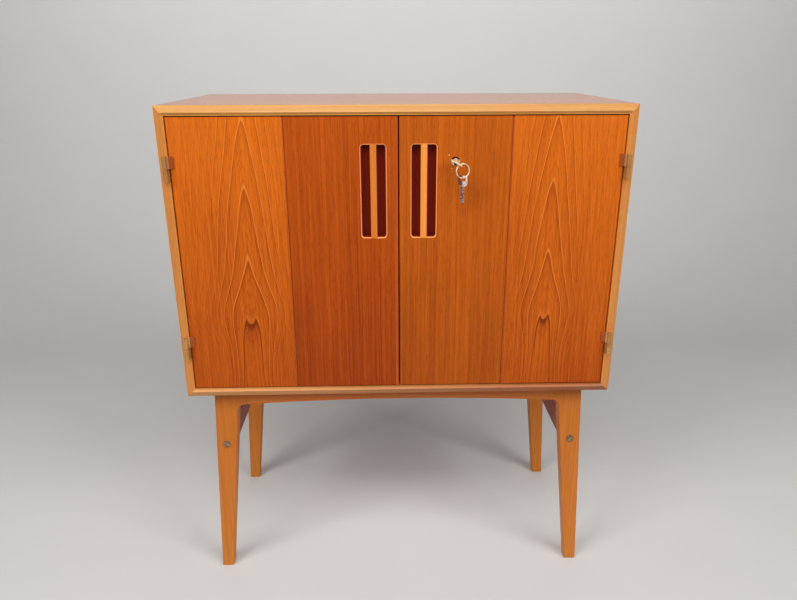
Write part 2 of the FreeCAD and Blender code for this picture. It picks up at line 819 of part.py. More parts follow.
def cross_bolt(front):
    """A slotted bolt through a leg into the end of the stretcher, and its barrel nut."""
    face = front_y + leg_setback if front else rear_y - rear_setback
    inward = Y_AXIS if front else -Y_AXIS
    seat = V(cross_bolt_from_middle, face, cross_bolt_height)
    start = seat - inward * cross_bolt_head_height
    head = peg(cross_bolt_head_radius, start, inward, cross_bolt_head_height, round_sides)
    shank = peg(cross_bolt_radius, seat, inward, cross_bolt_length)
    slot = box(around(start.x, 4 * cross_bolt_head_radius),
               sorted((start.y - inward.y * overrun, start.y + inward.y * bolt_slot_depth)),
               around(start.z, bolt_slot_width))
    slot.rotate(start, Y_AXIS, cross_bolt_turn)
    end_y = front_leg_back if front else rear_leg_front
    middle = V(cross_bolt_from_middle, end_y + inward.y * barrel_from_end, cross_bolt_height)
    barrel = peg(barrel_radius, middle - X_AXIS * (barrel_length / 2), X_AXIS, barrel_length)
    return joined([head, shank]).cut(slot), barrel.cut(shank), shank, barrel


def base_screw(x, front):
    """A screw up through an apron into the bottom panel, and the tool for its hole."""
    seat = V(x, apron_face(front) + apron_thickness / 2, leg_height - base_screw_seat)
    head = peg(base_screw_head_radius, seat, Z_AXIS, base_screw_head_height)
    shank = peg(base_screw_radius, seat, Z_AXIS, base_screw_length)
    way_in = peg(base_screw_head_radius, seat + Z_AXIS * base_screw_head_height, -Z_AXIS,
                 apron_end_height)
    screw = joined([head, shank])
    return screw, screw.fuse(way_in)


# Everything is made on the right, fitted, and mirrored to the left

frame_halves = {name: frame_hinge_half(z) for name, z in hinge_zs.items()}
door_halves = {name: door_hinge_half(z) for name, z in hinge_zs.items()}
notches = fold_notches()

strikes = []
strike_tools = []
for side, panel_z in ((1, inner_top), (-1, inner_bottom)):
    for x, y_range, width in ((rod_middle(side), rod_y, rod_width), (-bolt_x, bolt_y, bolt_width)):
        plate, tool = strike(x, y_range, width, side, panel_z)
        strikes.append(plate)
        strike_tools.append(tool)

screw_places = [
    (x, front) for front in (True, False) for x in (-base_screw_from_middle, base_screw_from_middle)
]
base_screw_pairs = [base_screw(x, front) for x, front in screw_places]
base_tools = [tool for screw, tool in base_screw_pairs]

save("top_panel", panel("top").cut(strike_tools))
save("bottom_panel", panel("bottom").cut(strike_tools + base_tools))
peg_holes = [
    shelf_peg(y, row, shelf_peg_depth + overrun) for y in shelf_peg_ys for row in (-1, 0, 1)
]
right_side = panel("right").cut(peg_holes)
save("right_side_panel", right_side)
save("left_side_panel", mirrored(right_side))
save("back_panel", back_panel())
save("shelf", shelf())
shelf_pegs = [shelf_peg(y, 0, shelf_peg_length) for y in shelf_peg_ys]
save("shelf_pegs", shelf_pegs + [mirrored(p) for p in shelf_pegs])
save("door_stops", door_stops())
save("strike_plates", strikes)
save("top_lipping", lipping("top"))
save("bottom_lipping", lipping("bottom"))
right_lipping = lipping("right").cut(list(frame_halves.values()))
save("right_lipping", right_lipping)
save("left_lipping", mirrored(right_lipping))

for name in hinge_zs:
    save(name + "_right_hinge_frame_half", frame_halves[name])
    save(name + "_left_hinge_frame_half", mirrored(frame_halves[name]))
    save(name + "_right_hinge_door_half", door_halves[name])
    save(name + "_left_hinge_door_half", mirrored(door_halves[name]))
pins = [hinge_pin(z) for z in hinge_zs.values()]
save("hinge_pins", pins + [mirrored(pin) for pin in pins])

outer = eased_leaf((door_edge - leaf_width, door_edge)).cut(notches + list(door_halves.values()))
save("right_outer_leaf", outer)
save("left_outer_leaf", mirrored(outer))
outer_halves = [fold_half(z, True) for z in hinge_zs.values()]
inner_halves = [fold_half(z, False) for z in hinge_zs.values()]
fold_pins = [fold_pin(z) for z in hinge_zs.values()]
save("right_fold_hinge_outer_halves", outer_halves)
save("left_fold_hinge_outer_halves", [mirrored(half) for half in outer_halves])
save("right_fold_hinge_inner_halves", inner_halves)
save("left_fold_hinge_inner_halves", [mirrored(half) for half in inner_halves])
save("right_fold_pins", fold_pins)
save("left_fold_pins", [mirrored(pin) for pin in fold_pins])

inner = eased_leaf((meeting_x, meeting_x + leaf_width)).cut(notches + [handle_slot()])
housing_seat = peg(housing_radius, V(lock_x, door_front - overrun, lock_z), Y_AXIS,
                   leaf_thickness + 2 * overrun, round_sides)
save("right_inner_leaf", inner.cut(housing_seat))
strip_block = box((meeting_x, meeting_x + strip_width), (door_front, door_back), (door_bottom, door_top))
save("left_inner_leaf", mirrored(inner.cut(strip_block)))
save("left_meeting_strip", mirrored(inner.common(strip_block)))
save("right_handle_bar", handle_bar())
save("left_handle_bar", mirrored(handle_bar()))

save("lock_housing", lock_housing())
save("lock_case", lock_case())
save("lock_plug", lock_plug())
save("upper_lock_rod", lock_rod(1))
save("lower_lock_rod", lock_rod(-1))
save("rod_guides", [rod_guide(side, z) for side, z in guide_places])
save("key", key_in_lock())
save("key_ring", key_ring())
save("spare_key", spare_key())

for name, side in (("upper", 1), ("lower", -1)):
    save(name + "_bolt_guide", mirrored(bolt_guide(side)))
    save(name + "_slide_bolt", mirrored(slide_bolt(side)))

bolts = []
barrels = []
bolt_rooms = []
tenons = []
for name, front in (("front", True), ("rear", False)):
    bolt, barrel, shank, barrel_room = cross_bolt(front)
    tenon = apron_tenon(front)
    bolts.append(bolt)
    barrels.append(barrel)
    bolt_rooms += [shank, barrel_room]
    tenons.append(tenon)
    post = leg(front).cut([shank, tenon])
    save(name + "_right_leg", post)
    save(name + "_left_leg", mirrored(post))
    save(name + "_apron", apron(front).cut([tenon, mirrored(tenon)] + base_tools))
rail = stretcher().cut(bolt_rooms)
save("right_stretcher", rail)
save("left_stretcher", mirrored(rail))
save("cross_bolts", bolts + [mirrored(b) for b in bolts])
save("barrel_nuts", barrels + [mirrored(b) for b in barrels])
save("apron_tenons", tenons + [mirrored(t) for t in tenons])
save("base_screws", [screw for screw, tool in base_screw_pairs])
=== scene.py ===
# %% [markdown]
# # A teak cabinet with folding doors
# The cabinet stands on splayed beech legs. Its front is four teak leaves, hinged in pairs, inside
# a pale mitred lipping. The solids come from the CAD model and stay where they are. This file
# gives each piece its softened edges and its finish, adds the screws and the small metalwork,
# and lights the whole as in a photographer's studio.

# %% Load the solids
import json
import math

import bmesh
import bpy
from mathutils import Matrix, Vector

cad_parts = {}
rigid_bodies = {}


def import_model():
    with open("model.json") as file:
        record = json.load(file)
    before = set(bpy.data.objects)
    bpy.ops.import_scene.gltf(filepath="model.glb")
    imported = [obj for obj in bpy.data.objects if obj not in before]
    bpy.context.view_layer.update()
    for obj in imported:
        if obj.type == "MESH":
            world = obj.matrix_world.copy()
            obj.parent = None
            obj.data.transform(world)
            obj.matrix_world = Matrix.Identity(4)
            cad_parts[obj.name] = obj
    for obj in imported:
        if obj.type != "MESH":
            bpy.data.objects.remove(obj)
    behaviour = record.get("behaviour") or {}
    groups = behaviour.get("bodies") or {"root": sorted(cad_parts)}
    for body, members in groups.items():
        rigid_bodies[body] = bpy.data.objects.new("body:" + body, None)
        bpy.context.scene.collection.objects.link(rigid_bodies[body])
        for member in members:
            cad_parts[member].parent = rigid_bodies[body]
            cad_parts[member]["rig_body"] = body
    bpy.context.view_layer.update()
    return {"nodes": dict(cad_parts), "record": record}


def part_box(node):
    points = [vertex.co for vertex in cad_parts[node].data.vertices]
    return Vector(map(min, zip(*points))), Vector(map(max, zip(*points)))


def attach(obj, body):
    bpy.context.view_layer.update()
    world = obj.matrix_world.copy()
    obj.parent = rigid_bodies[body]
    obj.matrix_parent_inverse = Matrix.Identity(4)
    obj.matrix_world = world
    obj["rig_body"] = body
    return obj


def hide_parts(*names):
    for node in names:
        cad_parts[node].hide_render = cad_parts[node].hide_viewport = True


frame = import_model()
nodes = frame["nodes"]

# %% [markdown]
# ## The camera
# The photograph was taken from a little above the doors, slightly left of the middle, with the
# camera tipped down. A camera in Blender looks along its own -Z, so its three axes are worked out
# from yaw, pitch and roll and written straight into its matrix. That is safer than turning it
# by eye, because every piece has to land on its own place in the picture. The picture was also
# cropped a little off the lens's own middle, which the two shifts of the lens take up.

# %% Camera
photo_width = 797
focal_pixels = 687.64
sensor_width = 36.0
eye_from_ridge = Vector((-0.0257, -1.0970, 0.9473))
yaw, pitch, roll = (math.radians(angle) for angle in (1.590, 20.517, -0.142))
middle_right, middle_down = 3.61, 17.74

ridge_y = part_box("top_lipping")[0].y
lens = bpy.data.cameras.new("camera")
lens.sensor_width = sensor_width
lens.lens = focal_pixels / photo_width * sensor_width
lens.shift_x = -middle_right / photo_width
lens.shift_y = middle_down / photo_width
camera = bpy.data.objects.new("camera", lens)
bpy.context.scene.collection.objects.link(camera)
ahead = Vector((math.sin(yaw) * math.cos(pitch), math.cos(yaw) * math.cos(pitch), -math.sin(pitch)))
level = Vector((math.cos(yaw), -math.sin(yaw), 0))
raised = level.cross(ahead)
sideways = math.cos(roll) * level + math.sin(roll) * raised
upright = math.cos(roll) * raised - math.sin(roll) * level
turned = Matrix((sideways, upright, -ahead)).transposed().to_4x4()
camera.matrix_world = Matrix.Translation(eye_from_ridge + Vector((0, ridge_y, 0))) @ turned
bpy.context.scene.camera = camera
print("camera at", [round(value, 3) for value in camera.matrix_world.translation])

# %% [markdown]
# ## Shader maths as Python
# A procedural finish is a net of nodes. Written one by one they hide the idea, so a socket is
# wrapped in a small class: adding or multiplying two wrapped sockets makes the Math node. Numbers
# that are the same all over stay plain Python.

# %% A wrapped socket
class Wire:
    """The output of a node, with Python's operators standing for Math nodes."""

    def __init__(self, finish, socket):
        self.finish = finish
        self.socket = socket

    def maths(self, operation, first, second):
        """A Math node on two values."""
        return self.finish.node("ShaderNodeMath", {"operation": operation}, {0: first, 1: second})

    def __add__(self, other):
        return self.maths("ADD", self, other)

    def __sub__(self, other):
        return self.maths("SUBTRACT", self, other)

    def __rsub__(self, other):
        return self.maths("SUBTRACT", other, self)

    def __mul__(self, other):
        return self.maths("MULTIPLY", self, other)

    def __pow__(self, other):
        return self.maths("POWER", self, other)

    def __abs__(self):
        return self.maths("ABSOLUTE", self, 0.0)

    def sine(self):
        """The sine of an angle in radians."""
        return self.maths("SINE", self, 0.0)

    def most(self, other):
        """The larger of two values."""
        return self.maths("MAXIMUM", self, other)

    def least(self, other):
        """The smaller of two values."""
        return self.maths("MINIMUM", self, other)

    __radd__ = __add__
    __rmul__ = __mul__


# %% A finish
class Finish:
    """One material, and the nodes behind its surface."""

    def __init__(self, name, metallic=0.0, specular=0.5):
        self.material = bpy.data.materials.new(name)
        self.material.use_nodes = True
        self.tree = self.material.node_tree
        self.surface = self.tree.nodes["Principled BSDF"]
        self.surface.inputs["Metallic"].default_value = metallic
        self.surface.inputs["Specular IOR Level"].default_value = specular

    def node(self, kind, settings, inputs, output=0):
        """Any node: its settings first, then the values or wires of its sockets."""
        made = self.tree.nodes.new(kind)
        for key, value in settings.items():
            setattr(made, key, value)
        for key, value in inputs.items():
            self.feed(made.inputs[key], value)
        return Wire(self, made.outputs[output])

    def feed(self, socket, value):
        """Links a wire to a socket, or writes a plain value into it."""
        if isinstance(value, Wire):
            self.tree.links.new(value.socket, socket)
        else:
            socket.default_value = value

    def place(self):
        """The object's own coordinates, as three wires. They are kept for tints added later."""
        where = self.node("ShaderNodeTexCoord", {}, {}, "Object")
        self.spot = [self.node("ShaderNodeSeparateXYZ", {}, {0: where}, axis) for axis in range(3)]
        return self.spot

    def noise(self, x, y, z, detail=3.0, roughness=0.5):
        """Cloudy noise from about 0.25 to 0.75, with one cloud to each unit of x, y and z."""
        at = self.node("ShaderNodeCombineXYZ", {}, {0: x, 1: y, 2: z})
        sockets = {"Vector": at, "Scale": 1.0, "Detail": detail, "Roughness": roughness}
        return self.node("ShaderNodeTexNoise", {}, sockets)

    def bands(self, distance, detail=3.0):
        """Noise along one line: the same at all points with the same distance."""
        sockets = {"W": distance, "Scale": 1.0, "Detail": detail}
        return self.node("ShaderNodeTexNoise", {"noise_dimensions": "1D"}, sockets)

    def part(self, value):
        """What is left of a value after its whole number, so that it runs from 0 to 1 again."""
        return Wire(self, value.socket).maths("FRACT", value, 0.0)

    def ramp(self, value, low, high):
        """0 up to low, 1 from high, and smooth between."""
        return self.node(
            "ShaderNodeMapRange",
            {"interpolation_type": "SMOOTHSTEP"},
            {"Value": value, "From Min": low, "From Max": high},
        )

    def mix(self, share, first, second):
        """A colour between two colours."""
        return self.node(
            "ShaderNodeMix", {"data_type": "RGBA"}, {0: share, 6: first, 7: second}, 2
        )

    def colour(self, value):
        """Sets the colour of the surface, and keeps it so that a tint can be mixed in later."""
        self.base = value
        self.feed(self.surface.inputs["Base Color"], value)

    def tint(self, share, shade):
        """Mixes another colour into the surface where a mask says so."""
        self.colour(self.mix(share, self.base, shade))

    def rough(self, value):
        """Sets the roughness of the surface."""
        self.feed(self.surface.inputs["Roughness"], value)

    def bump(self, height, strength, depth):
        """Raises and lowers the surface in the shading."""
        self.feed(
            self.surface.inputs["Normal"],
            self.node(
                "ShaderNodeBump", {}, {"Strength": strength, "Distance": depth, "Height": height}
            ),
        )


def paint(red, green, blue):
    """A colour as a screen shows it, 0 to 255, turned into the linear light that nodes use."""
    linear = []
    for part in (red, green, blue):
        share = part / 255
        linear.append(share / 12.92 if share <= 0.04045 else ((share + 0.055) / 1.055) ** 2.4)
    return (*linear, 1.0)


# %% [markdown]
# ## Wood
# Grain is stretched noise: fine fibres a fraction of a millimetre wide, broader streaks, and short
# dark pores. The figure comes from growth rings. A board is a flat cut through long cones, so its
# rings show as straight lines where the cut is far from the heart, and as nested arches over it.
# The height of a point over an arch's tip grows with a power of its distance to the side, so the
# two together make one number that is the same all along each arch. Low down the heart forks,
# which doubles the lowest tip.

# %% Grain
grain_axes = {"x": (2, 1, 0), "y": (0, 2, 1), "z": (0, 1, 2)}

# How many marks there are to a metre, across the grain and along it
wander_marks = (9.0, 3.5)
cloud_marks = (16.0, 3.0)
sway_marks = (24.0, 10.0)
streak_marks = (330.0, 5.0)
fleck_marks = (520.0, 26.0)
fibre_marks = (800.0, 12.0)
pore_marks = (1500.0, 75.0)
rings_per_metre = 120.0

# The arches: how they rise to the side, and how far apart their tips are
arch_power, arch_drop = 1.35, 19.5
arch_pitch = 0.111
seasons_per_arch = 4.3
fork_width = 0.007
fork_height = 0.085
pale_arch, dark_arch = 0.42, 0.8


def straight_rings(finish, across, deep, wander, contrast, lines):
    """The tone of straight growth rings, and the middle of that tone."""
    rings = finish.bands((across + deep * 0.4 + wander * 0.010) * rings_per_metre)
    line = 1.0 - finish.ramp(abs(rings - 0.5), 0.0, 0.04)
    return rings * contrast + line * lines, 0.5 * contrast + lines * 0.15


def nested_arches(finish, across, along, wander, arches, contrast, lines):
    """The tone of nested arches, the middle of that tone, and where the pale and dark lines run."""
    middle, first_tip, lean, crowding = arches
    above_tip = along - first_tip
    axis = above_tip * lean + middle
    side = abs(across - axis - wander * 0.012)
    fork = (1.0 - finish.ramp(along, first_tip + 0.005, first_tip + fork_height)) * fork_width
    split = abs(side - fork)
    shallow = finish.ramp(side - fork, -fork_width, 0.0) * 0.65 + 0.35
    wide, long = sway_marks
    sway = finish.noise(across * wide, 0.0, along * long, 2.0) - 0.5
    swell = (above_tip * (math.pi / (2 * arch_pitch))).sine()
    rise = above_tip + swell * swell * crowding
    steeper = 2.4 - finish.ramp(rise, -0.10, 0.01) * 1.4
    height = rise + split ** arch_power * shallow * steeper * arch_drop + sway * 0.030
    year = finish.part(height * (1.0 / arch_pitch))
    season = finish.part(height * (seasons_per_arch / arch_pitch) + wander * 2.0)
    above = finish.ramp(height, -0.06, -0.02)
    near = 1.0 - finish.ramp(side, 0.030, 0.060) * 0.65
    lowest = 1.0 - finish.ramp(abs(height), 0.012, 0.036)
    pale_line = 1.0 - finish.ramp(abs(year - 0.045), 0.005, 0.070)
    pale_line = pale_line * above * near * (1.0 - lowest * 0.7)
    dark_line = finish.ramp(year, 0.86, 0.97) * lowest
    growth = year ** 6.0 * contrast * above * near + season ** 5.0 * lines * above
    return growth, 0.14 * contrast + lines * 0.16, pale_line, dark_line


# %% Wood
def wood(name, grain, pale, dark, arches=None, contrast=0.3, lines=0.15, rough=0.42, pores=0.4,
         specular=0.3, fade=0.0, fade_from=0.64):
    """Wood with its grain along one axis. Arches: middle, lowest tip, lean, crowding."""
    finish = Finish(name, specular=specular)
    spot = finish.place()
    across, deep, along = (spot[axis] for axis in grain_axes[grain])

    def marks(scales, detail):
        """Noise that is stretched along the grain."""
        wide, long = scales
        return finish.noise(across * wide, deep * wide, along * long, detail)

    wander = marks(wander_marks, 2.0) - 0.5
    if arches is None:
        growth, middle_growth = straight_rings(finish, across, deep, wander, contrast, lines)
    else:
        growth, middle_growth, pale_line, dark_line = nested_arches(
            finish, across, along, wander, arches, contrast, lines
        )
    fibre = marks(fibre_marks, 3.0)
    tone = growth + marks(streak_marks, 4.0) * 0.6 + fibre * 0.25 + marks(cloud_marks, 2.0) * 0.3
    # Tone slope: painted light that pales the leaves at the top, painted shade atop the legs.
    tone = tone + marks(fleck_marks, 2.0) * 0.3 - (along - fade_from) * fade
    middle_tone = middle_growth + 0.725
    colour = finish.mix(finish.ramp(tone, middle_tone - 0.5, middle_tone + 0.5), pale, dark)
    open_pore = finish.ramp(marks(pore_marks, 1.0), 0.60, 0.70) * pores
    pore_colour = tuple(part * 0.55 for part in dark[:3]) + (1.0,)
    colour = finish.mix(open_pore, colour, pore_colour)
    if arches is not None:
        colour = finish.mix(pale_line * pale_arch, colour, paint(232, 142, 60))
        colour = finish.mix(dark_line * dark_arch, colour, pore_colour)
    finish.colour(colour)
    finish.rough(fibre * 0.16 + open_pore * 0.15 + (rough - 0.08))
    finish.bump(fibre * 0.4 - open_pore, 0.2, 0.0002)
    return finish


# %% [markdown]
# ## Metal
# The hinges are brass, with a painted reflection of the red-brown teak on their flanges. The key in
# the lock is a paler brass, the lock and the spare key are nickel, with painted shade on one half of
# the spare key's bow, and the hidden fittings are zinc plated steel. Real metal is never one even
# colour, so a cloud of tarnish changes both its colour and how sharply it shines.

# %% Metal
scratches_across, scratches_along = 3000.0, 260.0


def metal(name, bright, dull, rough=0.3, cloud=260.0, scratch=0.1, metallic=0.7):
    """Metal with fine scratches and patches of tarnish, as many to a metre as cloud says."""
    finish = Finish(name, metallic=metallic)
    x, y, z = finish.place()
    patch = finish.noise(x * cloud, y * cloud, z * cloud, 4.0)
    tarnish = finish.ramp(patch, 0.38, 0.64)
    finish.colour(finish.mix(tarnish, bright, dull))
    line = finish.noise(x * scratches_across, y * scratches_across, z * scratches_along, 2.0)
    finish.rough(tarnish * 0.18 + line * scratch + (rough - scratch / 2))
    finish.bump(line + patch, 0.12, 0.0001)
    return finish


# %% [markdown]
# ## The finishes of this cabinet
# The outer leaves were cut one after the other from the same bundle, so both show the same arches.
# The inner leaves are straight grained: the left one redder, the right one browner. The lipping,
# the bars and the legs are a paler wood. The leaves are painted paler towards the top, as painted
# light from above, and the legs darker at the top, as painted shade under the carcase.

# %% Finishes
leaf_low, leaf_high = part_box("left_outer_leaf")
leaf_middle = (leaf_low.x + leaf_high.x) / 2
left_arches = (leaf_middle + 0.018, leaf_low.z + 0.131, 0.03, 0.0135)
right_arches = (-0.021 - leaf_middle, leaf_low.z + 0.133, 0.0, 0.004)


def veneer(name, pale, dark, fade, arches=None):
    """The oiled veneer of a leaf, which hardly shines; its paler top is painted light."""
    return wood(name, "z", pale, dark, arches, specular=0.12, fade=fade)


def calm_wood(name, grain, pale, dark, **more):
    """Solid wood with a quiet grain."""
    return wood(name, grain, pale, dark, lines=0.1, **{"pores": 0.2, **more})


finishes = {
    "teak_panel": wood("top_and_side_teak", "x", paint(206, 124, 62), paint(150, 78, 32),
                       rough=0.22, specular=0.9),
    "teak_side": wood("side_teak", "z", paint(200, 112, 46), paint(146, 70, 24), rough=0.4),
    "back_board": wood("back_board", "x", paint(176, 128, 86), paint(136, 92, 58), rough=0.6),
    "top_lipping_wood": calm_wood("top_lipping", "x", paint(214, 158, 80), paint(176, 108, 44),
                                  rough=0.36),
    "bottom_lipping_wood": calm_wood("bottom_lipping", "x", paint(208, 144, 78),
                                     paint(156, 86, 40), rough=0.36, fade=-1.0, fade_from=-0.1),
    "lipping_upright": calm_wood("upright_lipping", "z", paint(222, 150, 72),
                                 paint(188, 108, 42), rough=0.36),
    "left_outer_veneer": veneer("left_outer_veneer", paint(214, 108, 22), paint(146, 53, 5), 0.7,
                                left_arches),
    "right_outer_veneer": veneer("right_outer_veneer", paint(212, 107, 22), paint(145, 53, 5),
                                 0.9, right_arches),
    "left_inner_veneer": veneer("left_inner_veneer", paint(186, 84, 14), paint(130, 42, 5), 0.7),
    "right_inner_veneer": veneer("right_inner_veneer", paint(197, 97, 18), paint(140, 58, 9),
                                 0.55),
    "strip_wood": wood("meeting_strip", "z", paint(190, 86, 16), paint(150, 54, 8)),
    "left_bar_wood": calm_wood("left_handle_bar", "z", paint(222, 132, 44), paint(186, 92, 24),
                               contrast=0.2, pores=0.15),
    "right_bar_wood": calm_wood("right_handle_bar", "z", paint(248, 162, 64),
                                paint(216, 120, 38), contrast=0.2, pores=0.15),
    # The legs get painted shade at the top, under the carcase.
    "leg_wood": calm_wood("legs", "z", paint(203, 123, 46), paint(173, 92, 28), contrast=0.25,
                          rough=0.4, specular=0.2, fade=-0.9, fade_from=0.2),
    "apron_wood": calm_wood("aprons", "x", paint(204, 118, 46), paint(172, 86, 28),
                            contrast=0.25, rough=0.4),
    "stretcher_wood": wood("stretchers", "y", paint(168, 78, 38), paint(124, 48, 20),
                           rough=0.45),
    "plain_wood": wood("plain_blocks", "x", paint(214, 168, 116), paint(180, 130, 82),
                       pores=0.2),
    "hinge_brass": metal("hinge_brass", paint(212, 160, 92), paint(184, 134, 76), rough=0.26,
                         cloud=45.0, scratch=0.04),
    "pin_steel": metal("pin_steel", paint(190, 188, 184), paint(150, 146, 140)),
    "lock_nickel": metal("lock_nickel", paint(236, 222, 200), paint(186, 166, 138),
                         cloud=420.0),
    "key_brass": metal("key_brass", paint(255, 232, 186), paint(228, 186, 128), rough=0.34,
                       metallic=0.5),
    "spare_key_nickel": metal("spare_key_nickel", paint(250, 246, 240), paint(214, 200, 188),
                              rough=0.32, metallic=0.4),
    "ring_steel": metal("ring_steel", paint(255, 240, 214), paint(206, 182, 150), rough=0.32,
                        cloud=160.0, metallic=0.5),
    "bolt_bronze": metal("bolt_bronze", paint(168, 142, 108), paint(104, 84, 60), rough=0.36),
    "fitting_steel": metal("fitting_steel", paint(192, 190, 184), paint(170, 166, 158),
                           rough=0.34, cloud=90.0),
}
print("finishes:", len(finishes))

# %% [markdown]
# ## Softened edges
# Real edges are never knife sharp. The CAD solids are loose triangles, so for each piece that is
# seen a copy is merged, its flat triangles are dissolved into whole faces, and its long sharp
# edges are selected by angle and bevelled. Its normals are then weighted by the size of the faces,
# so that large faces stay flat in the shading. The copy replaces its solid and rides on the same
# body. The CAD mesh itself isn't bevelled; it is kept as it is and hidden.

# %% Helpers for modelling
merge_distance = 0.000002
flat_angle = math.radians(0.5)


def deselect():
    """Nothing is selected, in any object."""
    bpy.ops.object.select_all(action="DESELECT")


def take(piece):
    """Makes one piece the only selected and active one."""
    deselect()
    piece.select_set(True)
    bpy.context.view_layer.objects.active = piece


def edit(piece, step):
    """Runs one step on a piece in edit mode, where edges and faces can be selected in code."""
    take(piece)
    bpy.ops.object.mode_set(mode="EDIT")
    step()
    bpy.ops.object.mode_set(mode="OBJECT")


def select_edges(piece, wanted, sharp=24.0):
    """In edit mode, selects the sharp edges whose two ends pass a test."""
    bpy.ops.mesh.select_mode(type="EDGE")
    mesh = bmesh.from_edit_mesh(piece.data)
    for edge in mesh.edges:
        turn = edge.calc_face_angle(0.0) if len(edge.link_faces) == 2 else 0.0
        ends = [vertex.co for vertex in edge.verts]
        edge.select = turn > math.radians(sharp) and wanted(*ends)
    bmesh.update_edit_mesh(piece.data)


def any_edge(start, end):
    """A test that every edge passes."""
    return True


def finish_piece(piece, body, slot, finish=None):
    """Gives a finished piece its body, and the material of its slot or of a named finish."""
    piece.data.materials.clear()
    piece.data.materials.append(finishes[finish or slot].material)
    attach(piece, body)


def smooth(piece, angle=30.0):
    """Smooth shading, with a crease where the surface turns by more than an angle."""
    take(piece)
    bpy.ops.object.shade_smooth_by_angle(angle=math.radians(angle))


slots = {part["node"]: part["material_slot"] for part in frame["record"]["subparts"]}


def softened(node, width, wanted=any_edge, segments=2, finish=None, sharp=24.0):
    """A merged copy of a CAD node with bevelled edges, in the place of the node."""
    source = nodes[node]
    piece = bpy.data.objects.new(node + "_eased", source.data.copy())
    bpy.context.scene.collection.objects.link(piece)

    def merge_and_bevel():
        """Merges the loose triangles, dissolves the flat ones and rounds the wanted edges."""
        bpy.ops.mesh.select_all(action="SELECT")
        bpy.ops.mesh.remove_doubles(threshold=merge_distance)
        bpy.ops.mesh.dissolve_limited(angle_limit=flat_angle)
        select_edges(piece, wanted, sharp)
        bpy.ops.mesh.bevel(offset=width, segments=segments, affect="EDGES", clamp_overlap=True)

    edit(piece, merge_and_bevel)
    smooth(piece)
    bpy.ops.object.modifier_add(type="WEIGHTED_NORMAL")
    piece.modifiers[-1].keep_sharp = True
    bpy.ops.object.modifier_apply(modifier=piece.modifiers[-1].name)
    finish_piece(piece, source["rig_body"], slots[node], finish)
    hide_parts(node)
    return piece


# %% [markdown]
# ## The lipping, the leaves and the legs
# Lipping strips are bevelled along their length only: at the mitres they stay tight. The leaves
# and the bars get a very small round on their chamfers, and the legs a larger one, because they
# are shaped and sanded by hand.

# %% Sizes of the rounds
lipping_round = 0.0006
leaf_round = 0.0003
bar_round = 0.0004
leg_round = 0.0006
stretcher_round = 0.0005
apron_round = 0.0004
strip_round = 0.0002
shelf_round = 0.0006


# %% Long edges only
def longer_than(least):
    """A test for edges of at least a length."""
    return lambda start, end: (end - start).length > least


for side in ("top", "bottom"):
    softened(side + "_lipping", lipping_round, longer_than(0.6), finish=side + "_lipping_wood")
for side in ("left", "right"):
    softened(side + "_lipping", lipping_round, longer_than(0.03), finish="lipping_upright")
    softened(side + "_outer_leaf", leaf_round, longer_than(0.1))
    softened(side + "_handle_bar", bar_round, finish=side + "_bar_wood")
    softened(side + "_stretcher", stretcher_round)
    for end in ("front", "rear"):
        softened(f"{end}_{side}_leg", leg_round)
for end in ("front", "rear"):
    softened(end + "_apron", apron_round, longer_than(0.4))
softened("left_meeting_strip", strip_round, longer_than(0.1))
softened("shelf", shelf_round)

# %% [markdown]
# ## The handle slots
# Each slot was routed into the leaf with a round-nosed cutter and its mouth eased by hand, so the
# cut shows paler wood round the mouth. Inside, the slot gets painted shade, as dark as a deep
# recess. Both follow the slot's outline, a rectangle with round corners. Its distance is a short
# formula, so the two tints can be painted by it on the leaf itself.

# %% Slot tints and wear on the inner leaves
slot_half_width = 0.0187
slot_half_height = 0.0728
slot_corner = 0.0035
slot_depth = 0.011
door_y = leaf_low.y
carcase_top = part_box("top_panel")[1].z
slot_middle_z = carcase_top - 0.134
slot_middle_x = 0.0402
mouth_easing = 0.0028


def slot_tints(finish, middle_x):
    """Pale wood round a slot's mouth and painted shade inside it."""
    x, y, z = finish.spot
    beyond_x = abs(x - middle_x) - (slot_half_width - slot_corner)
    beyond_z = abs(z - slot_middle_z) - (slot_half_height - slot_corner)
    out_x, out_z = beyond_x.most(0.0), beyond_z.most(0.0)
    outside = (out_x * out_x + out_z * out_z) ** 0.5 - slot_corner
    depth = y - door_y
    near = 1.0 - finish.ramp(outside, mouth_easing * 1.02, mouth_easing * 1.12)
    near = near * (1.0 - finish.ramp(depth, slot_depth + 0.0005, slot_depth + 0.0010))
    rim = finish.ramp(depth, 0.00002, 0.00020) * near
    # Painted shade: the inside of the slot is darkened as a deep recess.
    inside = finish.ramp(depth, mouth_easing * 0.45, mouth_easing * 0.75) * near
    finish.tint(rim, paint(238, 152, 88))
    finish.tint(inside, paint(112, 22, 4))


edge_width, edge_depth = (0.0008, 0.0012), (0.0007, 0.0012)


def pale_edges_and_joint_light(finish, low_x, high_x):
    """Pale solid-wood edges of a leaf, also painted light that lifts the shade in the joints."""
    x, y, z = finish.spot
    inside = (x - low_x).least(high_x - x)
    edge = (1.0 - finish.ramp(inside, *edge_width)) * finish.ramp(y - door_y, *edge_depth)
    # The pale edges are partly real lipping and partly painted light in the joints.
    finish.tint(edge, paint(226, 142, 80))


def chips(finish, places):
    """Small pale chips: each is a place across and up, and a size."""
    x, y, z = finish.spot
    for place_x, place_z, size in places:
        off_x, off_z = x - place_x, (z - place_z) * 0.7
        wobble = finish.noise(x * 900.0, y * 900.0, z * 900.0, 2.0) * (size * 1.4)
        away = (off_x * off_x + off_z * off_z) ** 0.5 + wobble
        finish.tint(1.0 - finish.ramp(away, size * 1.1, size * 1.5), paint(232, 158, 92))


